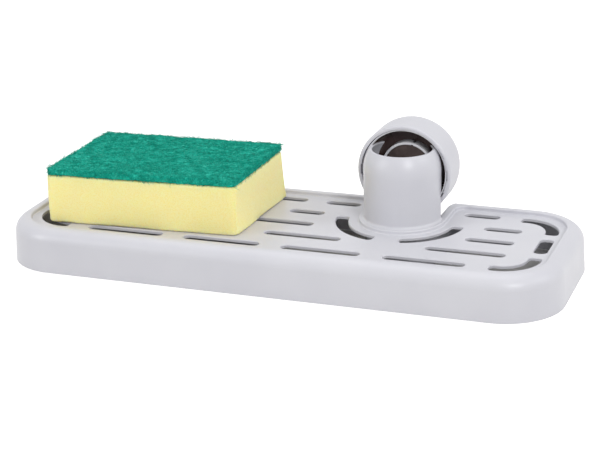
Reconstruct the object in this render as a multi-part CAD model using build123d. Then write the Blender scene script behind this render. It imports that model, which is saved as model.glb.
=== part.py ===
from build123d import *
from math import atan2, cos, radians, sin, sqrt, tan
import os

os.makedirs("parts", exist_ok=True)

# Sponge holder for a shower or tap riser: a long slotted drip tray with a hooded post, and a
# round clamp cap behind the post that squeezes the riser pipe against the hood. A sponge lies on it.
# Millimetres. X runs along the tray, Y towards the back, Z up. The origin is on the table under
# the middle of the tray.

# Tray, measured at the bottom of its skirt
tray_length = 293.0
tray_width = 105.6
tray_height = 22.55
tray_corner = 30.3
tray_draft = 2.9
tray_edge_round = 7.35
skirt_wall = 2.0
rim_width = 8.4
rim_drop = 2.2
rim_soft = 0.8
floor_thickness = 1.6
underside_round = 5.0

# Drain slots. The pattern's middle line lies a share of the tray's width behind the tray's own.
# Each row has its place as a share of the width from that line, and the starts and ends of its
# slots as shares of the tray's length from the middle
slot_width = 5.7
slot_soft = 0.35
pattern_share = 0.0105
row_shares = (-0.3315, -0.1655, 0.0, 0.1655, 0.3315)
front_row_shares = ((-0.341, -0.2), (-0.16, -0.02), (0.02, 0.16), (0.2, 0.341))
second_row_shares = ((-0.394, -0.254), (-0.214, -0.073), (-0.033, 0.106), (0.256, 0.394))
middle_row_shares = ((-0.394, -0.326), (-0.286, -0.145), (-0.106, 0.035), (0.31, 0.394))
fourth_row_shares = ((-0.394, -0.254), (-0.214, -0.073), (-0.029, 0.035), (0.328, 0.394))
back_row_shares = ((-0.341, -0.2), (-0.16, -0.018), (0.02, 0.084), (0.278, 0.341))
slot_end_round = 2.0
corner_slot_end_inset = 31.75
corner_slot_side_inset = 33.55
corner_slot_outer = 18.9
corner_slot_inner = 12.2
corner_slot_left = 3.3
corner_slot_low = -2.8
end_slot_inset = 16.15
end_slot_length = 20.6
end_slot_width = 6.9
end_slot_round = 3.0

# Riser post: a hood that is open at the back, over a notch through the tray. Its place is in
# shares of the tray's length and width, from the middle of the tray. Its sides run back into the
# cap by a share of the liner's cup
post_place_shares = (0.1809, 0.179)
post_radius = 19.9
post_wall = 1.5
post_back = 1.6
spigot_share = 0.36957
spigot_gap = 0.3
dome_centre = 28.0
dome_opening = 38.9
post_soft = 0.5
post_foot_round = 1.4
notch_wall = 1.9
notch_narrowing = 1.4
notch_edge_round = 2.6
notch_mouth_round = 12.0
ridge_width = 2.7
ridge_turn_round = 6.0
arc_slot_inner = 26.4
arc_slot_outer = 33.0
arc_left_shift = -1.7
arc_left_start = 184.0
arc_left_end = 260.0
arc_right_start = 283.0
arc_right_end = 357.5

# Clip arms on the hood's sides, which hold the cap
arm_offset = 16.0
arm_thickness = 1.8
arm_bottom = 18.0
arm_top = 28.0
arm_end_gap = 1.0
arm_root_length = 3.0

# Rubber pad inside the hood
pad_thickness = 4.4
pad_bottom = 4.0
pad_top = 24.0
pad_half_angle = 50.0
pad_soft = 0.8

# Clamp cap. Its axis runs along Y, at this height over the tray's floor
cap_height = 25.25
knob_setback = 2.0
knob_radius = 24.7
knob_wall = 2.0
knob_length = 31.7
knob_front_round = 1.2
knob_back_round = 15.1
knob_back_wall = 2.4
boss_radius = 9.0
boss_length = 4.0
slit_length = 5.4
slit_depth = 0.35
slit_reach = 2.6
slit_angles = (-30.0, 0.0, 30.0, 180.0)

# Liner, the cup that stays still inside the knob. Places run back from the knob's front
turning_gap = 0.3
lip_front = 1.4
lip_length = 2.4
lip_wall = 0.9
lip_soft = 0.3
liner_wall = 1.2
web_thickness = 2.0
sleeve_length = 6.0
sleeve_wall = 1.4
flange_thickness = 1.5
flange_height = 1.0
flange_gap = 0.3
flange_setback = 1.0
shoulder_gap = 1.1
rail_thickness = 1.5
rail_gap = 0.3
rail_share = 0.44565

# Clamp tube, which slides forward against the pipe, and the ring and the disc on its front
plunger_radius = 13.9
plunger_wall = 1.3
plunger_front = 7.0
plunger_gap = 0.1
plunger_retreat = 2.3
ring_length = 1.8
ring_soft = 0.4
ring_nick = 0.5
disc_recess = 0.8
disc_thickness = 2.5
disc_soft = 0.3
hub_radius = 7.5
hub_length = 6.5
hub_web = 2.0
key_width = 1.3
key_height = 0.9
key_angle = 79.0
key_gap = 0.15

# Nut and spindle
nut_radius = 5.4
nut_groove = 0.5
nut_groove_width = 1.4
spindle_radius = 4.0
spindle_gap = 0.05
spindle_setback = 5.5
spindle_chamfer = 0.6
head_flats = 13.0
head_height = 3.4

# Sponge. Its corners on the tray's floor, from the front left and anticlockwise
sponge_corners = ((-123.2, -33.75), (-20.4, -27.25), (-19.9, 39.75), (-122.2, 36.0))
sponge_corner_round = 4.0
foam_height = 25.6
scour_thickness = 4.4
foam_soft = 1.6
scour_soft = 0.8

# One overrun serves every cut, and one tolerance picks edges and faces
overrun = 5.0
pick_tolerance = 0.01

# Heights and places that follow from the sizes above
floor_top = tray_height - rim_drop
floor_under = floor_top - floor_thickness
tray_back = tray_width / 2
taper_shift = tray_height * tan(radians(tray_draft))
top_length = tray_length - 2 * taper_shift
top_width = tray_width - 2 * taper_shift
top_corner = tray_corner - taper_shift
hood_inner = post_radius - post_wall
notch_radius = hood_inner - notch_narrowing
ridge_radius = post_radius + ridge_width
cap_z = floor_top + cap_height
post_x = tray_length * post_place_shares[0]
post_y = tray_width * post_place_shares[1]
knob_front = post_y + knob_setback
knob_inner = knob_radius - knob_wall
liner_outer = knob_inner - turning_gap
liner_inner = liner_outer - liner_wall
flange_radius = knob_inner + flange_height - turning_gap
flange_back = knob_length - knob_back_round - shoulder_gap
flange_front = flange_back - flange_thickness
web_front = flange_front - flange_setback
web_back = web_front + web_thickness
sleeve_back = web_front + sleeve_length
sleeve_inner = plunger_radius + plunger_gap
sleeve_outer = sleeve_inner + sleeve_wall
liner_front = lip_front + lip_length
boss_front = knob_length - knob_back_wall - boss_length
plunger_back = boss_front - plunger_retreat
hub_front = plunger_back - hub_length
spindle_front = plunger_front + spindle_setback
ring_back = plunger_front + ring_length
cup_depth = web_front - liner_front
spigot_back = knob_front + liner_front + cup_depth * spigot_share
rail_front = liner_front + cup_depth * rail_share


def same(one, other):
    """Whether two lengths agree to within the tolerance that picks edges and faces."""
    return abs(one - other) < pick_tolerance


def level_face(solid, height):
    """The largest flat face that lies level at a height."""
    flats = [f for f in solid.faces().filter_by(GeomType.PLANE) if same(f.center().Z, height)]
    return max(flats, key=lambda face: face.area)


def prism(face, bottom, top):
    """Stands a flat outline up between two heights."""
    return extrude(Pos(0, 0, bottom) * face, amount=top - bottom)


def block(x_range, y_range, z_range):
    """A box given by its limits on each axis."""
    size = [high - low for low, high in (x_range, y_range, z_range)]
    middle = [(high + low) / 2 for low, high in (x_range, y_range, z_range)]
    return Pos(*middle) * Box(*size)


def on_cap_axis(solid, angle=0.0):
    """Carries a solid built about the Y axis to the cap, turned by an angle from +X to +Z."""
    return Pos(post_x, knob_front, cap_z) * Rot(0, -angle, 0) * solid


def turned(outline):
    """Turns an outline of (radius, distance behind the knob's front) about the cap's axis."""
    face = make_face(Polyline(*outline, close=True))
    return revolve(face, axis=Axis.Y)


def tube(outer, inner, start, end):
    """A plain ring about the Y axis."""
    return turned([(inner, start), (outer, start), (outer, end), (inner, end)])


def rod(radius, start, end):
    """A plain round bar about the Y axis."""
    return turned([(0, start), (radius, start), (radius, end), (0, end)])


def round_edges(solid, radius, place):
    """Fillets the circular edges about the Y axis that lie at the given radii and places."""
    chosen = []
    for edge in solid.edges().filter_by(GeomType.CIRCLE):
        for ring, distance in place:
            if same(edge.radius, ring) and same(edge.center().Y, distance):
                chosen.append(edge)
    return fillet(chosen, radius)


def notch_outline(radius, flare):
    """Round at the post, with straight sides that run to the back and flare out there."""
    reach = tray_back + overrun
    side = Pos(post_x, (post_y + reach) / 2) * Rectangle(2 * radius, reach - post_y)
    outside = Pos(post_x, tray_back + overrun / 2) * Rectangle(4 * (radius + flare), overrun)
    shape = Pos(post_x, post_y) * Circle(radius) + side + outside
    corners = [v for v in shape.vertices() if same(v.Y, tray_back) and same(abs(v.X - post_x), radius)]
    return fillet(corners, flare)


def arc_slot(start, end, shift):
    """A slot that follows an arc round the post, with its ends rounded a little."""
    reach = 2 * arc_slot_outer
    half = radians((end - start) / 2)
    wedge = Polyline((0, 0), (reach * cos(half), -reach * sin(half)), (2 * reach, 0),
                     (reach * cos(half), reach * sin(half)), close=True)
    ring = Circle(arc_slot_outer) - Circle(arc_slot_inner)
    piece = Rot(0, 0, (start + end) / 2) * (ring & make_face(wedge))
    return Pos(post_x + shift, post_y) * fillet(piece.vertices(), slot_end_round)


def corner_slot():
    """The curved slot in the tray's back right corner."""
    ring = Circle(corner_slot_outer) - Circle(corner_slot_inner)
    reach = corner_slot_outer + overrun
    width = reach + corner_slot_left
    depth = reach - corner_slot_low
    window = Pos(reach - width / 2, reach - depth / 2) * Rectangle(width, depth)
    piece = fillet((ring & window).vertices(), slot_end_round)
    return Pos(tray_length / 2 - corner_slot_end_inset, tray_back - corner_slot_side_inset) * piece


def drain_slots():
    """The outlines of all the slots in the floor."""
    slots = []
    rows = (front_row_shares, second_row_shares, middle_row_shares, fourth_row_shares, back_row_shares)
    for row_share, row in zip(row_shares, rows):
        for start, end in row:
            middle = Pos(tray_length * (start + end) / 2, tray_width * (pattern_share + row_share))
            slots.append(middle * SlotOverall(tray_length * (end - start), slot_width))
    slots.append(arc_slot(arc_left_start, arc_left_end, arc_left_shift))
    slots.append(arc_slot(arc_right_start, arc_right_end, 0))
    back = corner_slot()
    end = RectangleRounded(end_slot_width, end_slot_length, end_slot_round)
    end = Pos(tray_length / 2 - end_slot_inset, 0) * end
    for shape in (back, mirror(back, about=Plane.XZ), end):
        moved = Pos(0, tray_width * pattern_share) * shape
        slots.append(moved)
        slots.append(mirror(moved, about=Plane.YZ))
    return slots


def slot_cutter(outline):
    """What a slot takes out of the floor, with a narrow bevel round its top."""
    hole = prism(outline, floor_under - overrun, tray_height + overrun)
    wide = Pos(0, 0, floor_top) * offset(outline, slot_soft)
    return hole + extrude(wide, amount=-slot_soft, taper=45)


def recess_outline():
    """The sunken part of the floor, with the ridge round the post left standing."""
    margin = 2 * rim_width
    low = RectangleRounded(top_length - margin, top_width - margin, top_corner - rim_width)
    back = top_width / 2 - rim_width
    island = Pos(post_x, post_y) * Circle(ridge_radius)
    island += Pos(post_x, post_y + tray_back / 2) * Rectangle(2 * ridge_radius, tray_back)
    shape = low - island
    corners = [v for v in shape.vertices() if same(v.Y, back) and same(abs(v.X - post_x), ridge_radius)]
    return fillet(corners, ridge_turn_round)


def tray_block():
    """The tray's outside, solid, with its notch and its sunken floor."""
    body = extrude(RectangleRounded(tray_length, tray_width, tray_corner), amount=tray_height,
                   taper=tray_draft)
    body = fillet(body.edges().group_by(Axis.Z)[-1], tray_edge_round)
    body -= prism(notch_outline(notch_radius, notch_mouth_round), -overrun, tray_height + overrun)
    return body


def edge_profile(radius, height):
    """The bit that comes off a square edge to round it: u runs into the material, v is the height."""
    corner = Pos(radius / 2, height - radius / 2) * Rectangle(radius, radius)
    corner -= Pos(radius, height - radius) * Circle(radius)
    lid = Pos(radius / 2, height + overrun / 2) * Rectangle(radius, overrun)
    return corner + lid


def notch_rounding():
    """What comes off along the notch's top edge, behind the hood."""
    strip = Plane.XZ * edge_profile(notch_edge_round, tray_height)
    run = tray_back - notch_mouth_round - post_y - post_back
    side = Pos(post_x + notch_radius, post_y + post_back + run, 0) * extrude(strip, amount=run)
    turn = revolve(Pos(-notch_mouth_round, 0, 0) * strip, axis=Axis.Z, revolution_arc=90)
    corner = Pos(post_x + notch_radius + notch_mouth_round, tray_back - notch_mouth_round, 0)
    turn = corner * Rot(0, 0, -90) * turn
    centre = Plane.YZ.offset(post_x)
    return (side, turn, mirror(side, about=centre), mirror(turn, about=centre))


def outer_shell():
    """The tray's outside, solid, with its notch, its ridge and its sunken floor."""
    body = tray_block()
    for piece in notch_rounding():
        body -= piece
    body -= prism(recess_outline(), floor_top, tray_height + overrun)
    body = fillet(level_face(body, floor_top).outer_wire().edges(), rim_soft)
    return fillet(level_face(body, tray_height).inner_wires()[0].edges(), rim_soft)


def cavity():
    """The hollow under the floor, with a wall left standing round the notch."""
    inset = 2 * skirt_wall
    base = RectangleRounded(tray_length - inset, tray_width - inset, tray_corner - skirt_wall)
    hollow = extrude(base, amount=floor_under, taper=tray_draft)
    hollow = fillet(hollow.edges().group_by(Axis.Z)[-1], underside_round)
    return hollow - prism(notch_outline(notch_radius + notch_wall, notch_mouth_round - notch_wall),
                          -overrun, tray_height)


def hood_outline(radius, edge, foot):
    """Half the section of the hood, out to a radius, cut off level where it is edge wide."""
    spring = floor_top + dome_centre
    top = floor_top + dome_opening
    half = atan2(top - spring, edge) / 2
    middle = (radius * cos(half), spring + radius * sin(half))
    rise = Line((radius, foot), (radius, spring))
    crown = ThreePointArc((radius, spring), middle, (edge, top))
    rest = Polyline((edge, top), (0, top), (0, foot), (radius, foot))
    return make_face(Plane.XZ * (rise + crown + rest))


def hood():
    """The post: a half tube with a domed top that is cut off level. It is open at the back, where
    its sides run on a little way into the cap."""
    drop = dome_opening - dome_centre
    outer_edge = sqrt(post_radius**2 - drop**2)
    inner_edge = sqrt(hood_inner**2 - drop**2)
    foot = (floor_under + floor_top) / 2
    shell = revolve(hood_outline(post_radius, outer_edge, foot), axis=Axis.Z)
    shell -= revolve(hood_outline(hood_inner, inner_edge, -overrun), axis=Axis.Z)
    reach = post_radius + overrun
    behind = block((-reach, reach), (post_back, reach), (-overrun, cap_z + reach))
    spigot = rod(liner_inner - spigot_gap, post_back - overrun, spigot_back - post_y)
    shell -= behind - Pos(0, 0, cap_z) * spigot
    return Pos(post_x, post_y, 0) * shell


def clip_arm():
    """One of the two arms that run back from the hood's sides towards the liner's web."""
    front = spigot_back - arm_root_length
    back = knob_front + web_front - arm_end_gap
    arm = block((arm_offset, arm_offset + arm_thickness), (front, back),
                (floor_top + arm_bottom, floor_top + arm_top))
    return Pos(post_x, 0, 0) * arm


def tray_body():
    """The tray, its hood and its two clip arms, which are one moulding."""
    body = outer_shell() - cavity()
    body += hood()
    arcs = body.edges().filter_by(GeomType.CIRCLE)
    foot = [e for e in arcs if same(e.radius, post_radius) and same(e.center().Z, tray_height)]
    body = fillet(foot, post_foot_round)
    arcs = body.edges().filter_by(GeomType.CIRCLE)
    body = fillet([e for e in arcs if same((e @ 0.5).Z, floor_top + dome_opening)], post_soft)
    for slot in drain_slots():
        body -= slot_cutter(slot)
    arm = clip_arm()
    body += arm
    body += mirror(arm, about=Plane.YZ.offset(post_x))
    return body


def rail_pad():
    """The rubber pad that lines the front of the hood."""
    ring = Circle(hood_inner) - Circle(hood_inner - pad_thickness)
    reach = 2 * hood_inner
    half = radians(pad_half_angle)
    wedge = Polyline((0, 0), (reach * sin(half), -reach * cos(half)), (0, -2 * reach),
                     (-reach * sin(half), -reach * cos(half)), close=True)
    flat = ring & make_face(wedge)
    pad = prism(flat, floor_top + pad_bottom, floor_top + pad_top)
    pad = fillet(pad.edges().filter_by(Axis.Z).sort_by(Axis.Y)[-2:], pad_soft)
    return Pos(post_x, post_y, 0) * pad


def cap_liner():
    """The cup that stays still inside the knob, with its guide sleeve, flange, rails and key."""
    cup = tube(liner_outer, liner_inner, liner_front, web_front)
    web = tube(liner_outer, sleeve_inner, web_front, web_back)
    sleeve = tube(sleeve_outer, sleeve_inner, web_front, sleeve_back)
    flange = tube(flange_radius, sleeve_outer, flange_front, flange_back)
    body = cup + web + sleeve + flange
    low = arm_bottom - cap_height - rail_gap
    high = arm_top - cap_height + rail_gap
    inside = rod((liner_outer + liner_inner) / 2, 0, web_back)
    for bottom, top in ((low - rail_thickness, low), (high, high + rail_thickness)):
        rail = block((arm_offset, liner_outer), (rail_front, web_front), (bottom, top)) & inside
        body += rail
        body += mirror(rail, about=Plane.YZ)
    key = block((sleeve_inner - key_height, sleeve_inner + sleeve_wall / 2), (web_front, sleeve_back),
                (-key_width / 2, key_width / 2))
    body += Rot(0, -key_angle, 0) * key
    return on_cap_axis(body)


def knob_shell():
    """The round shell that is turned by hand. Its inside follows its outside."""
    inner_back = knob_length - knob_back_wall
    inner_round = knob_back_round - knob_wall

    def section(radius, corner, back, front):
        bulge = corner * (1 - sqrt(1 / 2))
        middle = (radius - bulge, back - bulge)
        rise = Line((radius, front), (radius, back - corner))
        bend = ThreePointArc((radius, back - corner), middle, (radius - corner, back))
        rest = Polyline((radius - corner, back), (0, back), (0, front), (radius, front))
        return revolve(make_face(rise + bend + rest), axis=Axis.Y)

    body = section(knob_radius, knob_back_round, knob_length, 0)
    body = round_edges(body, knob_front_round, ((knob_radius, 0),))
    body -= section(knob_inner, inner_round, inner_back, -overrun)
    groove = flange_radius + flange_gap
    body -= tube(groove, knob_inner - knob_wall, flange_front - flange_gap, flange_back + flange_gap)
    body += rod(boss_radius, boss_front, inner_back + knob_back_wall / 2)
    head = Plane.XZ * RegularPolygon(head_flats / 2, 6, major_radius=False)
    body -= extrude(head, amount=-head_height - overrun).moved(Location((0, boss_front - overrun, 0)))
    for angle in slit_angles:
        slit = block((knob_inner - slit_depth, knob_inner + slit_depth), (-overrun, slit_reach),
                     (-slit_length / 2, slit_length / 2))
        body -= Rot(0, -angle, 0) * slit
    return on_cap_axis(body)


def lip_ring():
    """The pale ring that closes the front of the liner's cup."""
    body = tube(liner_outer, liner_outer - lip_wall, lip_front, liner_front)
    body = round_edges(body, lip_soft, ((liner_outer, lip_front), (liner_outer - lip_wall, lip_front)))
    return on_cap_axis(body)


def tube_ring():
    """The pale ring on the front of the clamp tube, which presses on the pipe."""
    inside = plunger_radius - plunger_wall
    body = tube(plunger_radius, inside, plunger_front, ring_back)
    body = round_edges(body, ring_soft, ((plunger_radius, plunger_front), (inside, plunger_front)))
    nick = block((inside - overrun, inside + ring_nick), (plunger_front - overrun, ring_back + overrun),
                 (-key_width / 2, key_width / 2))
    body -= Rot(0, -key_angle, 0) * nick
    return on_cap_axis(body)


def grip_disc():
    """The dark rubber disc that closes the mouth of the clamp tube."""
    radius = plunger_radius - plunger_wall
    front = plunger_front + disc_recess
    body = rod(radius, front, front + disc_thickness)
    return on_cap_axis(round_edges(body, disc_soft, ((radius, front),)))


def clamp_tube():
    """The tube that slides in the liner, with a hub for the nut on a web at its back."""
    body = tube(plunger_radius, plunger_radius - plunger_wall, ring_back, plunger_back)
    body += tube(plunger_radius - plunger_wall / 2, nut_radius, hub_front, hub_front + hub_web)
    body += tube(hub_radius, nut_radius, hub_front, plunger_back)
    middle = (hub_front + plunger_back) / 2
    grip = nut_groove_width / 2
    body += tube((nut_radius + hub_radius) / 2, nut_radius - nut_groove, middle - grip, middle + grip)
    slot = block((plunger_radius - 2 * plunger_wall, plunger_radius + overrun),
                 (ring_back - overrun, plunger_back + overrun),
                 (-key_width / 2 - key_gap, key_width / 2 + key_gap))
    body -= Rot(0, -key_angle, 0) * slot
    return on_cap_axis(body)


def nut_insert():
    """The brass nut in the hub, with a groove that the hub grips."""
    middle = (hub_front + plunger_back) / 2
    half = nut_groove_width / 2
    body = tube(nut_radius, spindle_radius + spindle_gap, hub_front, plunger_back)
    body -= tube(nut_radius + nut_groove, nut_radius - nut_groove, middle - half, middle + half)
    return on_cap_axis(body)


def spindle():
    """The screw, drawn with a plain shank at its mean thread size, and its hexagonal head."""
    body = rod(spindle_radius, spindle_front, boss_front)
    body = round_edges(body, spindle_chamfer, ((spindle_radius, spindle_front),))
    head = Plane.XZ * RegularPolygon(head_flats / 2, 6, major_radius=False)
    body += extrude(head, amount=-head_height).moved(Location((0, boss_front, 0)))
    return on_cap_axis(body)


def sponge_layer(bottom, top, soft):
    """One layer of the sponge, softened round its free edge: the foam's bottom or the scourer's top."""
    flat = make_face(Polyline(*sponge_corners, close=True))
    flat = fillet(flat.vertices(), sponge_corner_round)
    layer = prism(flat, floor_top + bottom, floor_top + top)
    free_edges = layer.edges().group_by(Axis.Z)[0 if bottom == 0 else -1]
    return fillet(free_edges, soft)


pieces = {
    "tray_body": tray_body(),
    "rail_pad": rail_pad(),
    "cap_liner": cap_liner(),
    "lip_ring": lip_ring(),
    "knob_shell": knob_shell(),
    "clamp_tube": clamp_tube(),
    "tube_ring": tube_ring(),
    "grip_disc": grip_disc(),
    "nut_insert": nut_insert(),
    "spindle": spindle(),
    "sponge_foam": sponge_layer(0, foam_height, foam_soft),
    "scour_pad": sponge_layer(foam_height, foam_height + scour_thickness, scour_soft),
}

for name, solid in pieces.items():
    export_step(solid, "parts/" + name + ".step")
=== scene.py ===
import bpy
import bmesh
import math
import random
from mathutils import Matrix, Vector, noise


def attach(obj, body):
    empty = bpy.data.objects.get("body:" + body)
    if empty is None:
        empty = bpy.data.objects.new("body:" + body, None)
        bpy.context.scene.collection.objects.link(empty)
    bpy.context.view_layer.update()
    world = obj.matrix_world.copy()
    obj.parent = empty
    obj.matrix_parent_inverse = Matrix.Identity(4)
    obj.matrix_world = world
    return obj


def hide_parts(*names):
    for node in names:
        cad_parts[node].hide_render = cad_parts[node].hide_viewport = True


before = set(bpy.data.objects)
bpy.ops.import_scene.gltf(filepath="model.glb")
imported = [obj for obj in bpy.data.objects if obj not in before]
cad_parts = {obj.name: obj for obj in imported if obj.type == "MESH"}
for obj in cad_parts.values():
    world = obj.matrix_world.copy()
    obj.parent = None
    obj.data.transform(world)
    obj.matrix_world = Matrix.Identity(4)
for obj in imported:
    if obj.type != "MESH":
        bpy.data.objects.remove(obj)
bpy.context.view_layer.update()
print("frame loaded:", sorted(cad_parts))

mm = 0.001


def linearColour(hexText):  # sRGB hex to the linear values that a shader takes
    channels = [int(hexText[i:i + 2], 16) / 255 for i in (1, 3, 5)]
    return [c / 12.92 if c <= 0.04045 else ((c + 0.055) / 1.055) ** 2.4 for c in channels] + [1.0]


def perMetre(sizeInMillimetres):  # how often a pattern of that size repeats in a metre
    return 1000 / sizeInMillimetres


# One node with its settings and inputs. An input goes by its name, with _ for a space, or by i and
# its number. A tuple that starts with a node is a link: (node, output name or number).
def addNode(tree, kind, settings=None, **inputs):
    node = tree.nodes.new(kind)
    for name, value in (settings or {}).items():
        setattr(node, name, value)
    for name, value in inputs.items():
        key = int(name[1:]) if name[0] == "i" and name[1:].isdigit() else name.replace("_", " ")
        if isinstance(value, tuple) and isinstance(value[0], bpy.types.Node):
            tree.links.new(value[0].outputs[value[1]], node.inputs[key])
        else:
            node.inputs[key].default_value = value
    return node


def addMath(tree, operation, *operands):  # one operation on up to three numbers or links
    numbered = {f"i{place}": operand for place, operand in enumerate(operands)}
    return addNode(tree, "ShaderNodeMath", {"operation": operation}, **numbered)


def addNoise(tree, place, size, **inputs):  # noise with patches of about size millimetres
    return addNode(tree, "ShaderNodeTexNoise", Vector=(place, "Object"), Scale=perMetre(size), **inputs)


def addBump(tree, source, depth, **inputs):  # relief of that many millimetres
    return addNode(tree, "ShaderNodeBump", Height=source, Distance=depth * mm, **inputs)


def addTint(tree, source, stops):  # a ramp between (place, hex colour) stops
    ramp = addNode(tree, "ShaderNodeValToRGB", Fac=source)
    elements = ramp.color_ramp.elements
    while len(elements) < len(stops):
        elements.new(0.5)
    for element, (place, hexText) in zip(elements, stops):
        element.position = place
        element.color = linearColour(hexText)
    return ramp


def newMaterial(name, hexText, **socketValues):  # a material with its shader's own sockets set
    material = bpy.data.materials.new(name)
    material.use_nodes = True
    tree = material.node_tree
    shader = tree.nodes["Principled BSDF"]
    socketValues["Base_Color"] = linearColour(hexText)
    for socket, value in socketValues.items():
        shader.inputs[socket.replace("_", " ")].default_value = value
    material.diffuse_color = socketValues["Base_Color"]
    return material, tree, shader


def feedShader(tree, shader, **sources):  # links each node's first output to that socket
    for socket, node in sources.items():
        tree.links.new(node.outputs[0], shader.inputs[socket.replace("_", " ")])


def dress(nodeName, material):  # gives a CAD node its material
    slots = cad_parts[nodeName].material_slots
    for slot in slots:
        slot.material = material
    if not slots:
        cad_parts[nodeName].data.materials.append(material)


def addObject(name, data):
    made = bpy.data.objects.new(name, data)
    bpy.context.collection.objects.link(made)
    return made


# The camera stands where the photograph was taken from
cameraPlace = {
    "location": (290.97, -760.2, 310.7),  # millimetres from the origin under the tray
    "azimuth": 20.71,
    "elevation": 19.71,
    "roll": -1.685,
    "lens": 100.64,
    "sensorWidth": 36,
}


def addCamera(place):
    azimuth, elevation, roll = (math.radians(place[k]) for k in ("azimuth", "elevation", "roll"))
    back = Vector((math.sin(azimuth) * math.cos(elevation), -math.cos(azimuth) * math.cos(elevation),
                   math.sin(elevation)))
    level = (-back).cross(Vector((0, 0, 1))).normalized()
    upright = level.cross(-back)
    right = math.cos(roll) * level + math.sin(roll) * upright
    up = -math.sin(roll) * level + math.cos(roll) * upright
    data = bpy.data.cameras.new("photoCamera")
    data.lens = place["lens"]
    data.sensor_width = place["sensorWidth"]
    camera = addObject("photoCamera", data)
    turn = Matrix((right, up, back)).transposed().to_4x4()
    camera.matrix_world = Matrix.Translation(Vector(place["location"]) * mm) @ turn
    bpy.context.scene.camera = camera


addCamera(cameraPlace)
print("camera placed")


# Plain studio: a paper floor in a white surround. Two broad lamps, above and at the right, light
# the tray, and two small ones in front give the dome its two soft highlights. All in metres.
studio = {
    "floorSize": 6.0,
    "floorDrop": 0.0002,  # keeps the paper just clear of the tray's foot
    "floorColour": "#D2D1CF",
    "floorGlow": 0.62,
    "shadedHalfSize": (0.1458, 0.0521),  # the floor under the tray, which gets no glow
    "shadedCorner": 0.0295,
    "shadedSoftness": 0.0015,
    "surroundLight": 0.56,
    "lampAim": (0, 0, 0.03),
    "lamps": [
        # name, place, size, watts
        ("topLamp", (-0.1, 0.2, 1.5), 1.3, 6.9),
        ("rightLamp", (0.86, -1.09, 0.8), 0.34, 7.8),
        ("leftLamp", (-1.1, -0.98, 0.61), 0.3, 5.2),
        ("sideLamp", (1.5, 0.1, 0.9), 0.9, 5.4),
    ],
}


def seenAsWhite(tree):  # 1 for what the camera sees, straight, mirrored or through glass
    rays = addNode(tree, "ShaderNodeLightPath")
    seen = addMath(tree, "MAXIMUM", (rays, "Is Camera Ray"), (rays, "Is Glossy Ray"))
    return addMath(tree, "MAXIMUM", (seen, 0), (rays, "Is Transmission Ray"))


# Matt photographic paper. Outside the tray it glows, for the camera and in reflections only, so
# the open floor reads as white without lighting the tray from below. Under the tray it has no
# glow, so what shows through the slots lies in shade.
def mattPaper(values):
    material, tree, shader = newMaterial("mattPaper", values["floorColour"], Roughness=0.95)
    glow = addMath(tree, "MULTIPLY", (seenAsWhite(tree), 0), values["floorGlow"])
    place = addNode(tree, "ShaderNodeTexCoord")
    axes = addNode(tree, "ShaderNodeSeparateXYZ", Vector=(place, "Object"))
    corner = values["shadedCorner"]
    beyond = []  # along each axis, how far a point lies past the corners' centres
    for axis, halfSize in enumerate(values["shadedHalfSize"]):
        distance = addMath(tree, "ABSOLUTE", (axes, axis))
        distance = addMath(tree, "SUBTRACT", (distance, 0), halfSize - corner)
        beyond.append(addMath(tree, "MAXIMUM", (distance, 0), 0.0))
    reach = addNode(tree, "ShaderNodeCombineXYZ", X=(beyond[0], 0), Y=(beyond[1], 0))
    reach = addNode(tree, "ShaderNodeVectorMath", {"operation": "LENGTH"}, i0=(reach, 0))
    opened = addNode(tree, "ShaderNodeMapRange", {"interpolation_type": "SMOOTHSTEP"}, Value=(reach, "Value"),
                     From_Min=corner - values["shadedSoftness"], From_Max=corner)
    glow = addMath(tree, "MULTIPLY", (glow, 0), (opened, 0))
    light = addNode(tree, "ShaderNodeEmission", Strength=(glow, 0))
    both = addNode(tree, "ShaderNodeAddShader", i0=(shader, 0), i1=(light, 0))
    tree.links.new(both.outputs[0], tree.nodes["Material Output"].inputs["Surface"])
    return material


def addFloor(values):
    half = values["floorSize"] / 2
    mesh = bpy.data.meshes.new("paperFloor")
    corners = [(-half, -half, 0), (half, -half, 0), (half, half, 0), (-half, half, 0)]
    mesh.from_pydata(corners, [], [(0, 1, 2, 3)])
    floor = addObject("paperFloor", mesh)
    floor.location.z = -values["floorDrop"]
    mesh.materials.append(mattPaper(values))


def addSurround(values):
    world = bpy.data.worlds.new("whiteSurround")
    world.use_nodes = True
    bpy.context.scene.world = world
    tree = world.node_tree
    strength = addNode(tree, "ShaderNodeMapRange", Value=(seenAsWhite(tree), 0),
                       To_Min=values["surroundLight"], To_Max=1.0)
    background = tree.nodes["Background"]
    tree.links.new(strength.outputs[0], background.inputs["Strength"])
    background.inputs["Color"].default_value = [1.0, 1.0, 1.0, 1.0]


def addLamps(values):
    for name, place, size, watts in values["lamps"]:
        lamp = bpy.data.lights.new(name, "AREA")
        lamp.size = size
        lamp.energy = watts
        holder = addObject(name, lamp)
        holder.location = place
        aim = Vector(values["lampAim"]) - Vector(place)
        holder.rotation_euler = aim.to_track_quat("-Z", "Y").to_euler()


bpy.context.scene.view_settings.view_transform = "Standard"
addFloor(studio)
addSurround(studio)
addLamps(studio)
print("studio lit")


# Moulded ABS. A spark eroded mould leaves a fine satin grain, which spreads the highlights softly;
# slow changes in thickness cloud the colour by a trace, and handling polishes it here and there.
mouldedGrey = {
    "colour": "#CBCBD1",
    "clouded": "#C5C5CC",
    "cloudSize": 38,
    "grainSize": 0.55,  # drawn coarser than the real 0.1 mm, so that it shows
    "grainDepth": 0.035,
    "polishSize": 24,
    "roughness": (0.33, 0.43),  # polished, plain
    "fade": (0.3, 0.7),  # the part of a noise's range over which one patch turns into the next
    "refraction": 1.53,
}


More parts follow.
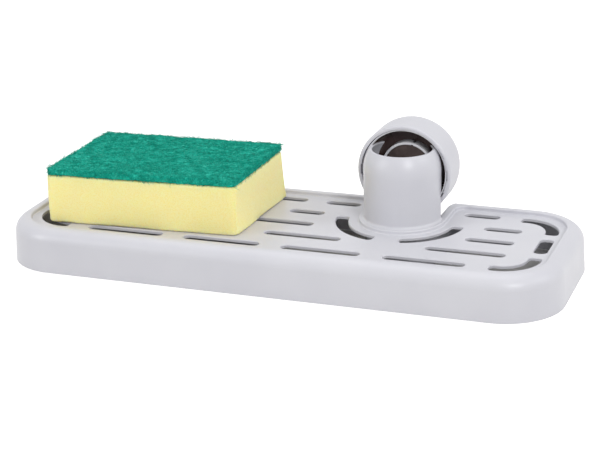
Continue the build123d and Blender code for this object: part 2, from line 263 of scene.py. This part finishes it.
def mouldedPlastic(name, values):
    polished, plain = values["roughness"]
    low, high = values["fade"]
    material, tree, shader = newMaterial(name, values["colour"], IOR=values["refraction"],
                                         Specular_IOR_Level=0.5, Roughness=polished)
    place = addNode(tree, "ShaderNodeTexCoord")
    cloud = addNoise(tree, place, values["cloudSize"], Detail=3.0)
    tint = addTint(tree, (cloud, "Fac"), [(low, values["clouded"]), (high, values["colour"])])
    polish = addNoise(tree, place, values["polishSize"], Detail=5.0)
    gloss = addNode(tree, "ShaderNodeMapRange", Value=(polish, "Fac"), From_Min=low, From_Max=high,
                    To_Min=polished, To_Max=plain)
    grain = addNoise(tree, place, values["grainSize"], Detail=2.0)
    bump = addBump(tree, (grain, "Fac"), values["grainDepth"], Strength=0.8)
    feedShader(tree, shader, Base_Color=tint, Roughness=gloss, Normal=bump)
    return material


greyPlastic = mouldedPlastic("mouldedAbs", mouldedGrey)
for nodeName in ("tray_body", "knob_shell", "clamp_tube"):
    dress(nodeName, greyPlastic)

# The same plastic made whiter: painted light on the two rings inside the cap, so that they read as catching
# the light
paintedLightGrey = {**mouldedGrey, "colour": "#EDEDF1", "clouded": "#E8E8ED"}
paintedLightPlastic = mouldedPlastic("absWithPaintedLight", paintedLightGrey)
for nodeName in ("lip_ring", "tube_ring"):
    dress(nodeName, paintedLightPlastic)

# Moulded acetal of the cap's inner cup: brown black, smooth from a polished mould, so it only catches a soft
# glint.
# Its dark colour is partly the cup's own and partly painted shade for the deep shadow inside the cap.
darkAcetalWithPaintedShade = {
    **mouldedGrey,
    "colour": "#503F3D",
    "clouded": "#443533",
    "grainDepth": 0.012,
    "roughness": (0.24, 0.34),
}
dress("cap_liner", mouldedPlastic("mouldedAcetal", darkAcetalWithPaintedShade))
print("plastics made")


# Pressed nitrile rubber: dull and nearly black, with the mould's faint grain and a dusty bloom
padRubber = {
    "colour": "#2B2B2D",
    "bloom": "#3D3D3F",
    "bloomSize": 6,
    "bloomFade": (0.4, 0.75),
    "grainSize": 0.5,
    "grainDepth": 0.05,
    "roughness": 0.72,
}


def pressedRubber(name, values):
    low, high = values["bloomFade"]
    material, tree, shader = newMaterial(name, values["colour"], Roughness=values["roughness"])
    place = addNode(tree, "ShaderNodeTexCoord")
    bloom = addNoise(tree, place, values["bloomSize"], Detail=6.0)
    tint = addTint(tree, (bloom, "Fac"), [(low, values["colour"]), (high, values["bloom"])])
    grain = addNoise(tree, place, values["grainSize"])
    bump = addBump(tree, (grain, "Fac"), values["grainDepth"])
    feedShader(tree, shader, Base_Color=tint, Normal=bump)
    return material


dress("rail_pad", pressedRubber("pressedRubber", padRubber))

# The disc in the clamp's mouth is a softer rubber filled with cork dust, so it is dark brown
discRubber = {**padRubber, "colour": "#4A3E3C", "bloom": "#5A4C49", "bloomSize": 3}
dress("grip_disc", pressedRubber("corkRubber", discRubber))

# Turned metal. The tool leaves fine rings along the Y axis, which draw the highlight out along the
# bar, and old water stains dull it. A ring's wave takes ringRadian millimetres for each radian.
turnedBrass = {
    "name": "turnedBrass",
    "colour": "#C9A45C",
    "stained": "#B08A48",
    "stainSize": 3.0,
    "stainFade": (0.35, 0.65),
    "roughness": 0.30,
    "ringRadian": 0.35,
    "ringDepth": 0.01,
}
turnedStainless = {
    **turnedBrass,
    "name": "turnedStainless",
    "colour": "#B9B9BC",
    "stained": "#A4A4A8",
    "roughness": 0.26,
    "ringRadian": 0.30,
}
waveRadians = 20  # a wave texture turns by this for each unit of scale


def turnedMetal(values):
    low, high = values["stainFade"]
    material, tree, shader = newMaterial(values["name"], values["colour"], Metallic=1.0,
                                         Roughness=values["roughness"])
    place = addNode(tree, "ShaderNodeTexCoord")
    stain = addNoise(tree, place, values["stainSize"], Detail=4.0)
    tint = addTint(tree, (stain, "Fac"), [(low, values["stained"]), (high, values["colour"])])
    rings = addNode(tree, "ShaderNodeTexWave", {"bands_direction": "Y"}, Vector=(place, "Object"),
                    Scale=perMetre(values["ringRadian"]) / waveRadians, Distortion=0.4)
    bump = addBump(tree, (rings, "Fac"), values["ringDepth"], Strength=0.5)
    feedShader(tree, shader, Base_Color=tint, Normal=bump)
    return material


dress("nut_insert", turnedMetal(turnedBrass))
dress("spindle", turnedMetal(turnedStainless))
print("rubber and metals made")


# The sponge: two layers glued together, cut with a blade, on the tray's floor. Heights in
# millimetres, as are the sizes of both layers below.
sponge = {
    "floor": 20.35,
    "foamTop": 46.0,
    "scourTop": 50.3,
}


# A closed box of small faces, rounded, laid out on the layer's four corners. Sizes are in
# millimetres; push moves each point (place, outward direction) and returns the new place.
def spongeBlock(name, bottom, top, values, push):
    corners = [Vector((x, y, 0)) for x, y in values["corners"]]
    splay = [Vector((x, y, 0)) for x, y in values["splay"]]
    roundness, cornerRound, step = (values[k] for k in ("roundness", "cornerRound", "step"))
    length = (corners[1] - corners[0]).length
    width = (corners[3] - corners[0]).length
    height = top - bottom
    size = Vector((length, width, height))
    counts = [max(2, round(s / step)) for s in size]
    mesh = bpy.data.meshes.new(name)
    work = bmesh.new()
    seen = {}

    def vertexAt(cell):
        if cell not in seen:
            flat = Vector(cell[k] / counts[k] * size[k] for k in range(3))
            inner = Vector(min(max(flat[k], roundness), size[k] - roundness) for k in range(3))
            offset = flat - inner
            outward = offset.normalized() if offset.length > 0 else Vector((0, 0, 1))
            place = inner + outward * roundness
            for k in range(2):
                inner[k] = min(max(place[k], cornerRound), size[k] - cornerRound)
            turned = Vector((place.x - inner.x, place.y - inner.y, 0))
            if turned.length > 0:  # draws the corner of the plan in to a quarter circle
                turned *= max(abs(turned.x), abs(turned.y)) / turned.length
                place.xy = (inner + turned).xy
            u, v, low = place.x / length, place.y / width, 1 - place.z / height
            foot = [corner + low * low * shift for corner, shift in zip(corners, splay)]
            onFloor = (foot[0] * (1 - u) + foot[1] * u) * (1 - v) + (foot[3] * (1 - u) + foot[2] * u) * v
            place = Vector((onFloor.x, onFloor.y, bottom + place.z))
            seen[cell] = work.verts.new(push(place, outward) * mm)
        return seen[cell]

    for axis in range(3):
        one, two = [k for k in range(3) if k != axis]
        for end in (0, counts[axis]):
            for i in range(counts[one]):
                for j in range(counts[two]):
                    ring = []
                    for di, dj in ((0, 0), (1, 0), (1, 1), (0, 1)):
                        cell = [0, 0, 0]
                        cell[axis], cell[one], cell[two] = end, i + di, j + dj
                        ring.append(vertexAt(tuple(cell)))
                    work.faces.new(ring)
    bmesh.ops.recalc_face_normals(work, faces=work.faces)
    work.to_mesh(mesh)
    work.free()
    mesh.shade_smooth()
    return addObject(name, mesh)


foam = {
    "corners": ((-124.2, -33.8), (-20.3, -27.4), (-19.6, 39.6), (-123.2, 35.9)),  # from the front left
    "splay": ((0, 0), (0.4, 0), (2.2, 0.5), (0, 0)),  # how much further out each is at the bottom
    "clearance": 0.05,  # between the tray's floor and the foam as cut
    "lowest": 0.03,  # no point of the foam comes nearer to the floor than this
    "roundness": 1.2,
    "cornerRound": 3.5,
    "step": 0.9,
    "swell": (0.5, 21.0),  # how far and over what length the faces wander
    "rough": (0.14, 2.2),
    "pits": (0.2, 1.5),
    "pitReach": 0.5,
    "colour": "#FDE79A",
    "shade": "#FADF8A",
    "pale": "#FEEEAE",
    "stops": (0.12, 0.45, 0.95),  # where in the pores' range the painted shade, the colour and the painted light lie
    "poreSize": 0.7,
    "finePoreShare": 0.45,  # of poreSize, for the smaller cells between the large ones
    "finePoreWeight": 0.5,  # against the large ones' 1
    "poreDepth": 0.12,
    "bendSize": 3.0,
    "bendDepth": 1.2,
    "lightDepth": 5,
    "lightReach": (1.0, 0.8, 0.35),  # shares of it for red, green and blue
}


def foamSurface(place, outward):
    swell, swellSize = foam["swell"]
    rough, roughSize = foam["rough"]
    pit, pitSize = foam["pits"]
    move = swell * noise.noise(place / swellSize) - swell / 2
    move += rough * noise.noise(place / roughSize)
    move -= pit * max(0.0, foam["pitReach"] - noise.voronoi(place / pitSize)[0][0])
    moved = place + outward * move
    moved.z = max(moved.z, sponge["floor"] + foam["lowest"])
    return moved


foamBlock = spongeBlock("foamBlock", sponge["floor"] + foam["clearance"], sponge["foamTop"],
                        foam, foamSurface)


# Cut polyurethane foam: open cells the size of a pinhead, with painted light on their walls
# and painted shade, a deeper yellow, inside them; soft and without gloss, with a little light passing
# through.
def openCellFoam(values):
    material, tree, shader = newMaterial("cutFoam", values["colour"], Roughness=0.95, Specular_IOR_Level=0.2,
                                         Subsurface_Weight=0.8, Subsurface_Scale=values["lightDepth"] * mm,
                                         Subsurface_Radius=values["lightReach"])
    place = addNode(tree, "ShaderNodeTexCoord")
    bend = addNoise(tree, place, values["bendSize"], Detail=2.0)
    bent = addNode(tree, "ShaderNodeVectorMath", {"operation": "MULTIPLY_ADD"}, i0=(bend, "Color"),
                   i1=[values["bendDepth"] * mm] * 3, i2=(place, "Object"))
    cells = addNode(tree, "ShaderNodeTexVoronoi", Vector=(bent, 0), Scale=perMetre(values["poreSize"]))
    fine = addNode(tree, "ShaderNodeTexVoronoi", Vector=(bent, 0),
                   Scale=perMetre(values["poreSize"] * values["finePoreShare"]))
    walls = addMath(tree, "MULTIPLY_ADD", (fine, "Distance"), values["finePoreWeight"], (cells, "Distance"))
    # painted shade in the pores, the foam's colour, painted light on the cell walls
    tints = [values[k] for k in ("shade", "colour", "pale")]
    tint = addTint(tree, (walls, 0), list(zip(values["stops"], tints)))
    bump = addBump(tree, (walls, 0), values["poreDepth"], Strength=0.7)
    feedShader(tree, shader, Base_Color=tint, Normal=bump)
    return material


foamBlock.data.materials.append(openCellFoam(foam))
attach(foamBlock, "sponge")
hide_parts("sponge_foam")
print("foam cut:", len(foamBlock.data.polygons), "faces")


scour = {
    "corners": ((-123.2, -33.7), (-20.4, -27.2), (-19.9, 39.7), (-122.2, 36.0)),
    "splay": ((0, 0),) * 4,
    "sunk": 0.1,  # how far the mat's underside lies in the foam, as cut
    "lowest": 0.25,  # no point of the mat lies deeper in the foam than this
    "topDrop": 0.2,  # leaves room for the loose fibres
    "inset": 0.35,  # draws the faces in by this, before they wander
    "roundness": 0.9,
    "cornerRound": 2.5,
    "step": 1.0,
    "rough": (0.34, 1.5),
    "wave": (0.3, 9.0),
    "colour": "#00B59E",
    "dark": "#006A5A",
    "light": "#5CE4CC",
    "stops": (0.38, 0.52, 0.68),  # where in the tangle's range the painted shade (dark), the colour and the painted glints (light) lie
    "tuftSize": 5.0,
    "fibreSize": 0.8,
    "fibreWeight": 2.2,  # against the tufts' 1
    "fibreRelief": 0.5,
}


def scourSurface(place, outward):
    rough, roughSize = scour["rough"]
    wave, waveSize = scour["wave"]
    move = rough * noise.noise(place / roughSize) + wave * noise.noise(place / waveSize) - scour["inset"]
    moved = place + outward * move
    moved.z = max(moved.z, sponge["foamTop"] - scour["lowest"])
    return moved


scourMat = spongeBlock("scourMat", sponge["foamTop"] - scour["sunk"], sponge["scourTop"] - scour["topDrop"],
                       scour, scourSurface)


# Needled nylon bonded with resin and grit: a springy tangle of green fibres, with painted shade between
# them and small painted glints on the fibres.
def bondedNylon(name, values):
    material, tree, shader = newMaterial(name, values["colour"], Roughness=0.7, Specular_IOR_Level=0.15,
                                         IOR=1.53)
    place = addNode(tree, "ShaderNodeTexCoord")
    tufts = addNoise(tree, place, values["tuftSize"], Detail=6.0, Roughness=0.7)
    strands = addNoise(tree, place, values["fibreSize"], Detail=4.0, Distortion=2.0)
    mixed = addMath(tree, "MULTIPLY_ADD", (strands, "Fac"), values["fibreWeight"], (tufts, "Fac"))
    mixed = addMath(tree, "DIVIDE", (mixed, 0), 1 + values["fibreWeight"])
    tints = [values[k] for k in ("dark", "colour", "light")]
    tint = addTint(tree, (mixed, 0), list(zip(values["stops"], tints)))
    feedShader(tree, shader, Base_Color=tint)
    if values["fibreRelief"]:
        bump = addBump(tree, (strands, "Fac"), values["fibreRelief"], Strength=0.9)
        feedShader(tree, shader, Normal=bump)
    return material


scourMat.data.materials.append(bondedNylon("bondedNylon", scour))
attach(scourMat, "sponge")
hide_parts("scour_pad")


# Loose fibres over the mat's top and sides, each a thin bent tube, a little duller than the mat and with its
# painted shade and painted glints
looseFibres = {
    **scour,
    "colour": "#00A48E",
    "light": "#54DCC4",
    "stops": (0.3, 0.52, 0.68),
    "fibreRelief": 0,  # they are real shapes already
    "count": 8000,
    "length": (2.5, 7.0),
    "radius": 0.085,
    "tipShare": 0.55,  # of the radius, at both ends
    "bend": 1.3,  # radians to either side over the whole length
    "lift": (-0.15, 0.28),
    "wander": 0.12,  # the most that one step rises or falls at random
    "sides": 3,
    "steps": 4,
    "facing": -0.3,  # how far down a face may look and still carry fibres
    "seed": 5,
}


def scourFibres(values):
    draw = random.Random(values["seed"])
    polygonsUsed = [p for p in scourMat.data.polygons if p.normal.z > values["facing"]]
    faces = [(p.center.copy(), p.normal.copy()) for p in polygonsUsed]
    vertices, polygons = [], []
    radius = values["radius"] * mm
    sides, steps, bend, wander = (values[k] for k in ("sides", "steps", "bend", "wander"))
    for _ in range(values["count"]):
        centre, normal = faces[draw.randrange(len(faces))]
        angle = draw.uniform(0, 2 * math.pi)
        across = normal.orthogonal().normalized()
        along = Matrix.Rotation(angle, 3, normal) @ across
        length = draw.uniform(*values["length"]) * mm
        bendTurn = draw.uniform(-bend, bend)
        lift = draw.uniform(*values["lift"]) * mm
        heading = Matrix.Rotation(-bendTurn / 2, 3, normal) @ along
        point = centre - along * length / 2 + normal * lift
        base = len(vertices)
        for k in range(steps + 1):
            if k:
                heading = Matrix.Rotation(bendTurn / steps, 3, normal) @ heading
                point = point + heading * length / steps + normal * draw.uniform(-wander, wander) * mm
            side = heading.cross(normal).normalized()
            taper = radius * (values["tipShare"] if k in (0, steps) else 1.0)
            for s in range(sides):
                turn = 2 * math.pi * s / sides
                vertices.append(point + (side * math.cos(turn) + normal * math.sin(turn)) * taper)
        for k in range(steps):
            for s in range(sides):
                a, b = base + k * sides + s, base + k * sides + (s + 1) % sides
                polygons.append((a, b, b + sides, a + sides))
        polygons.append(tuple(base + s for s in reversed(range(sides))))
        polygons.append(tuple(base + steps * sides + s for s in range(sides)))
    mesh = bpy.data.meshes.new("scourFibres")
    mesh.from_pydata(vertices, [], polygons)
    mesh.shade_smooth()
    return addObject("scourFibres", mesh)


fibres = scourFibres(looseFibres)
fibres.data.materials.append(bondedNylon("bondedFibre", looseFibres))
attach(fibres, "sponge")
print("scouring mat made:", len(scourMat.data.polygons) + len(fibres.data.polygons), "faces")
